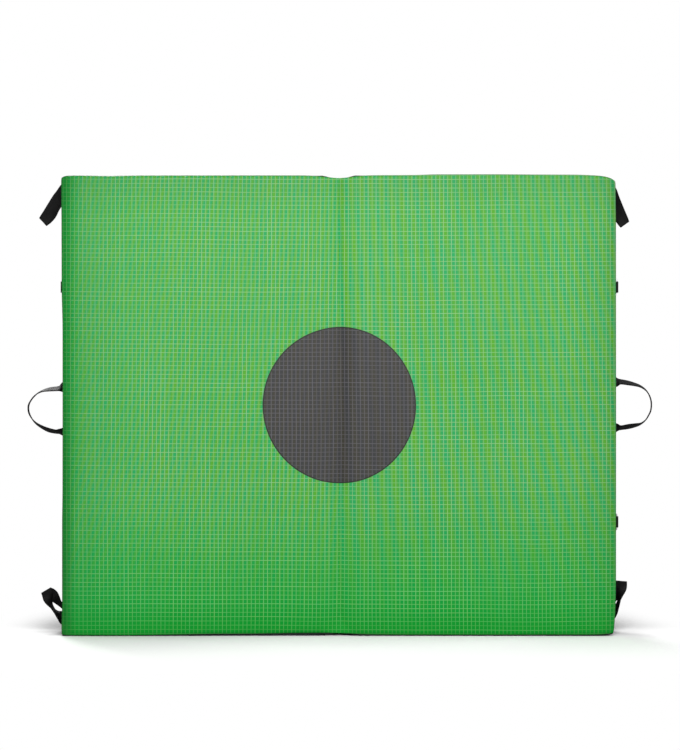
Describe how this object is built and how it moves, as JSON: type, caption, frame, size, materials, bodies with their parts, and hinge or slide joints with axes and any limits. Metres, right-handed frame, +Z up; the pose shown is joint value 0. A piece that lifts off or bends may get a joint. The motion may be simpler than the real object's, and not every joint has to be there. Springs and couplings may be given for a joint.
{
  "type": "bouldering crash pad",
  "caption": "Hinged foam landing pad for climbers, open and standing on its long edge, with webbing handles, closure straps and shoulder straps.",
  "frame": {"origin": "middle of the open pad's footprint, on the floor that its long edge stands on", "axes": "+X along the width, from the half with the shoulder straps to the other; the landing faces look towards -Y; +Z up along the fold"},
  "size_m": [1.382, 0.1441, 1],
  "materials": {
    "green_ripstop": "green ripstop nylon with a light grid of thicker threads",
    "black_nylon": "coated plain weave",
    "black_webbing": "woven webbing",
    "closed_foam": "closed-cell foam",
    "open_foam": "open-cell foam",
    "black_plastic": "moulded",
    "bare_metal": "satin"
  },
  "bodies": {
    "left_half": {"left_landing_panel": "green_ripstop", "left_boxing": "black_nylon", "left_foam_top": "closed_foam", "left_foam_core": "open_foam", "left_foam_base": "closed_foam", "left_back_panel": "black_nylon", "hinge_seam": "black_webbing", "catch_loop_upper": "black_webbing", "catch_loop_lower": "black_webbing", "yoke_patch": "black_nylon", "shoulder_strap_outer": "black_nylon", "shoulder_strap_inner": "black_nylon", "ladder_lock_outer": "black_plastic", "ladder_lock_inner": "black_plastic", "anchor_patch_outer": "black_nylon", "anchor_patch_inner": "black_nylon", "lower_webbing_outer": "black_webbing", "lower_webbing_inner": "black_webbing", "left_zip": "black_nylon"},
    "right_half": {"right_landing_panel": "green_ripstop", "right_boxing": "black_nylon", "right_foam_top": "closed_foam", "right_foam_core": "open_foam", "right_foam_base": "closed_foam", "right_back_panel": "black_nylon", "closure_tab_upper": "black_webbing", "closure_tab_lower": "black_webbing", "right_zip": "black_nylon"},
    "left_handle": {"left_handle": "black_webbing"},
    "right_handle": {"right_handle": "black_webbing"},
    "top_left_loop": {"top_left_loop": "black_webbing"},
    "top_right_loop": {"top_right_loop": "black_webbing"},
    "bottom_left_loop": {"bottom_left_loop": "black_webbing"},
    "bottom_right_loop": {"bottom_right_loop": "black_webbing"},
    "closure_strap_upper": {"closure_ring_upper": "bare_metal", "closure_strap_upper": "black_webbing"},
    "closure_strap_lower": {"closure_ring_lower": "bare_metal", "closure_strap_lower": "black_webbing"},
    "closure_hook_upper": {"closure_hook_upper": "bare_metal"},
    "closure_hook_lower": {"closure_hook_lower": "bare_metal"},
    "haul_handle": {"haul_handle": "black_webbing"},
    "belt_outer": {"belt_outer": "black_webbing", "belt_socket": "black_plastic"},
    "belt_inner": {"belt_inner": "black_webbing", "belt_plug": "black_plastic"},
    "left_zip_slider": {"left_zip_slider": "bare_metal"},
    "right_zip_slider": {"right_zip_slider": "bare_metal"}
  },
  "joints": [
    {"name": "fold", "type": "hinge", "parent": "left_half", "child": "right_half", "pos_m": [0, -0.072, 0], "axis": [0, 0, -1], "range_deg": [0, 180]},
    {"name": "left_handle_swing", "type": "hinge", "parent": "left_half", "child": "left_handle", "pos_m": [-0.6007, 0.0265, 0.4908], "axis": [0, 0, 1], "range_deg": [-60, 60]},
    {"name": "right_handle_swing", "type": "hinge", "parent": "right_half", "child": "right_handle", "pos_m": [0.6007, 0.0265, 0.5009], "axis": [0, 0, 1], "range_deg": [-60, 60]},
    {"name": "top_left_loop_swing", "type": "hinge", "parent": "left_half", "child": "top_left_loop", "pos_m": [-0.5995, 0.0265, 0.97], "axis": [0, 0, 1], "range_deg": [-40, 40]},
    {"name": "top_right_loop_swing", "type": "hinge", "parent": "right_half", "child": "top_right_loop", "pos_m": [0.5995, 0.0265, 0.97], "axis": [0, 0, 1], "range_deg": [-40, 40]},
    {"name": "bottom_left_loop_swing", "type": "hinge", "parent": "left_half", "child": "bottom_left_loop", "pos_m": [-0.6001, 0.0265, 0.04], "axis": [0, 0, 1], "range_deg": [-40, 40]},
    {"name": "bottom_right_loop_swing", "type": "hinge", "parent": "right_half", "child": "bottom_right_loop", "pos_m": [0.6001, 0.0265, 0.04], "axis": [0, 0, 1], "range_deg": [-40, 40]},
    {"name": "closure_strap_upper_swing", "type": "hinge", "parent": "right_half", "child": "closure_strap_upper", "pos_m": [0.61668, 0.03232, 0.762], "axis": [0, 0, -1], "range_deg": [0, 250]},
    {"name": "closure_strap_lower_swing", "type": "hinge", "parent": "right_half", "child": "closure_strap_lower", "pos_m": [0.61668, 0.03232, 0.241], "axis": [0, 0, -1], "range_deg": [0, 250]},
    {"name": "closure_hook_upper_swing", "type": "hinge", "parent": "closure_strap_upper", "child": "closure_hook_upper", "pos_m": [0.36568, 0.03232, 0.762], "axis": [0, 0, -1], "range_deg": [0, 120]},
    {"name": "closure_hook_lower_swing", "type": "hinge", "parent": "closure_strap_lower", "child": "closure_hook_lower", "pos_m": [0.36568, 0.03232, 0.241], "axis": [0, 0, -1], "range_deg": [0, 120]},
    {"name": "haul_handle_lift", "type": "hinge", "parent": "left_half", "child": "haul_handle", "pos_m": [-0.3, 0.0298, 0.93], "axis": [1, 0, 0], "range_deg": [0, 170]},
    {"name": "belt_outer_swing", "type": "hinge", "parent": "left_half", "child": "belt_outer", "pos_m": [-0.375, 0.0291, 0.14], "axis": [0, 0, -1], "range_deg": [0, 100]},
    {"name": "belt_inner_swing", "type": "hinge", "parent": "left_half", "child": "belt_inner", "pos_m": [-0.225, 0.0291, 0.14], "axis": [0, 0, 1], "range_deg": [0, 100]},
    {"name": "left_zip_slide", "type": "slide", "parent": "left_half", "child": "left_zip_slider", "axis": [-1, 0, 0], "range_m": [0, 0.456]},
    {"name": "right_zip_slide", "type": "slide", "parent": "right_half", "child": "right_zip_slider", "axis": [1, 0, 0], "range_m": [0, 0.456]}
  ]
}
